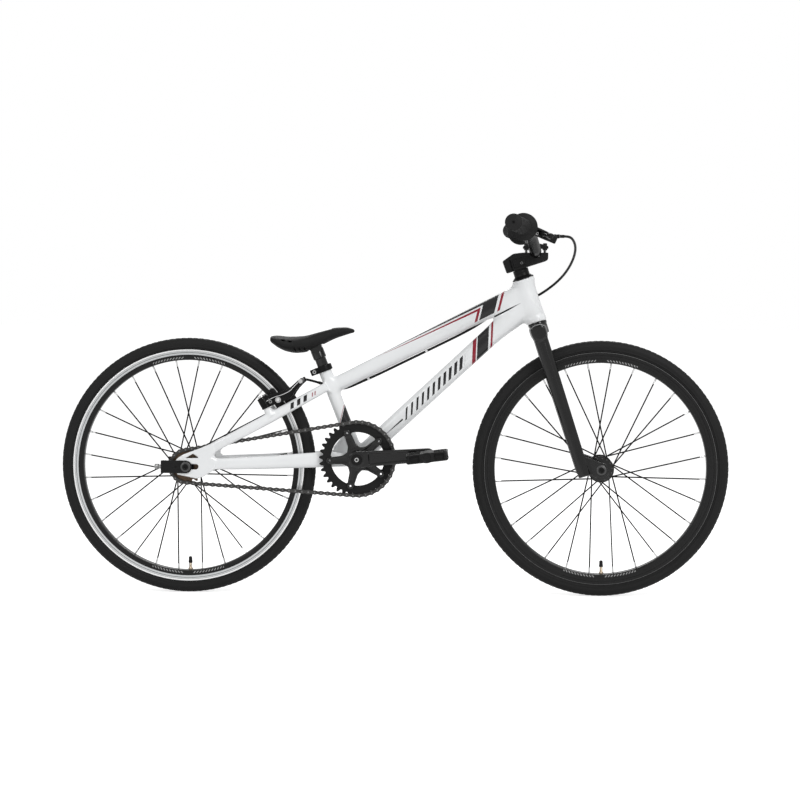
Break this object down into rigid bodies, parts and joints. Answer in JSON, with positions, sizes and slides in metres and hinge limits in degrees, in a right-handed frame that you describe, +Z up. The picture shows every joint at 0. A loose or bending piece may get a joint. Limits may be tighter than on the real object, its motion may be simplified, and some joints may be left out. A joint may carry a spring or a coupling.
{
  "type": "bmx race bike",
  "caption": "Junior BMX race bike: rigid white frame, black fork and rise bar, single-speed chain drive, rear rim brake with a bar lever, spoked wheels with narrow tyres.",
  "frame": {"origin": "on the ground, halfway between the tyres' contact points, in the bike's middle plane", "axes": "+X forward along the bike's length, +Y to the rider's left, away from the drive side, +Z up"},
  "size_m": [1.325, 0.6262, 0.7525],
  "materials": {
    "white_paint": "glossy white paint",
    "black_paint": "satin black paint",
    "black_plastic": "moulded black plastic",
    "black_rubber": "matt black rubber",
    "tyre_rubber": "matt black tyre rubber",
    "steel": "plated steel",
    "silver_alloy": "machined silver alloy",
    "black_chain": "blackened steel"
  },
  "bodies": {
    "frame": {"head_tube": "white_paint", "top_tube": "white_paint", "down_tube": "white_paint", "seat_tube": "white_paint", "bottom_bracket_shell": "white_paint", "chainstay_right": "white_paint", "chainstay_left": "white_paint", "seatstay_right": "white_paint", "seatstay_left": "white_paint", "dropout_right": "white_paint", "dropout_left": "white_paint", "chain_tug_right": "black_paint", "chain_tug_left": "black_paint", "brake_bolt_right": "steel", "brake_bolt_left": "steel", "rear_axle": "steel", "seat_clamp": "black_paint", "headset_bearing_upper": "steel", "headset_bearing_lower": "steel", "bottom_bracket_cartridge": "steel", "brake_cable_frame": "black_plastic", "brake_cable_rear": "black_plastic", "chain": "black_chain"},
    "steering": {"fork": "black_paint", "front_axle": "steel", "headset_cover": "black_paint", "stem": "black_paint", "stem_cap": "black_paint", "handlebar": "black_paint", "grip_right": "black_rubber", "grip_left": "black_rubber", "brake_lever_bracket": "black_plastic", "brake_cable_front": "black_plastic"},
    "front_wheel": {"front_hub": "black_paint", "front_rim": "black_paint", "front_tyre": "tyre_rubber", "front_tube": "black_rubber"},
    "rear_wheel": {"rear_hub": "black_paint", "rear_rim": "silver_alloy", "rear_tyre": "tyre_rubber", "rear_tube": "black_rubber"},
    "crankset": {"crank_spindle": "steel", "crank_right": "black_paint", "crank_left": "black_paint", "chainring": "black_paint", "pedal_axle_right": "steel", "pedal_axle_left": "steel"},
    "right_pedal": {"pedal_right": "black_paint"},
    "left_pedal": {"pedal_left": "black_paint"},
    "freewheel_cog": {"freewheel": "steel"},
    "hand_lever": {"brake_lever": "black_paint"},
    "right_brake": {"brake_arm_right": "black_paint", "brake_pad_right": "black_rubber", "brake_wire": "steel"},
    "left_brake": {"brake_arm_left": "black_paint", "brake_pad_left": "black_rubber", "brake_noodle": "silver_alloy"},
    "post": {"seatpost": "black_paint"},
    "seat": {"saddle": "black_plastic"}
  },
  "joints": [
    {"name": "steering_turn", "type": "hinge", "parent": "frame", "child": "steering", "pos_m": [0.26722, 0, 0.58501], "axis": [-0.309, 0, 0.9511], "range_deg": [-60, 60], "deforming": ["brake_cable_front"]},
    {"name": "front_wheel_spin", "type": "hinge", "parent": "steering", "child": "front_wheel", "pos_m": [0.409, 0, 0.2535], "axis": [0, 1, 0], "continuous": true},
    {"name": "rear_wheel_spin", "type": "hinge", "parent": "frame", "child": "rear_wheel", "pos_m": [-0.409, 0, 0.2535], "axis": [0, 1, 0], "continuous": true},
    {"name": "crank_spin", "type": "hinge", "parent": "frame", "child": "crankset", "pos_m": [-0.071, 0, 0.271], "axis": [0, 1, 0], "continuous": true, "deforming": ["chain"]},
    {"name": "right_pedal_spin", "type": "hinge", "parent": "crankset", "child": "right_pedal", "pos_m": [0.06859, 0, 0.28174], "axis": [0, 1, 0], "continuous": true},
    {"name": "left_pedal_spin", "type": "hinge", "parent": "crankset", "child": "left_pedal", "pos_m": [-0.21059, 0, 0.26026], "axis": [0, 1, 0], "continuous": true},
    {"name": "freewheel_spin", "type": "hinge", "parent": "frame", "child": "freewheel_cog", "pos_m": [-0.409, 0, 0.2535], "axis": [0, 1, 0], "continuous": true},
    {"name": "lever_pull", "type": "hinge", "parent": "steering", "child": "hand_lever", "pos_m": [0.28821, -0.181, 0.71148], "axis": [-0.4067, 0, -0.9135], "range_deg": [0, 25], "stiffness_Nm_per_rad": 0.6},
    {"name": "right_brake_close", "type": "hinge", "parent": "frame", "child": "right_brake", "pos_m": [-0.24093, -0.04, 0.35248], "axis": [-0.487, 0, 0.8734], "range_deg": [0, 3], "stiffness_Nm_per_rad": 0.6, "deforming": ["brake_wire", "brake_cable_rear"]},
    {"name": "left_brake_close", "type": "hinge", "parent": "frame", "child": "left_brake", "pos_m": [-0.24093, 0.04, 0.35248], "axis": [0.487, 0, -0.8734], "range_deg": [0, 3], "stiffness_Nm_per_rad": 0.6},
    {"name": "seatpost_slide", "type": "slide", "parent": "frame", "child": "post", "axis": [-0.3665, 0, 0.9304], "range_m": [-0.014, 0.04]},
    {"name": "saddle_tilt", "type": "hinge", "parent": "post", "child": "seat", "pos_m": [-0.15749, 0, 0.49058], "axis": [0, 1, 0], "range_deg": [-6, 6]}
  ],
  "couplings": [
    {"joint": "freewheel_spin", "follows": "crank_spin", "ratio": 2.25},
    {"joint": "right_brake_close", "follows": "lever_pull", "ratio": 0.12},
    {"joint": "left_brake_close", "follows": "lever_pull", "ratio": 0.12}
  ]
}
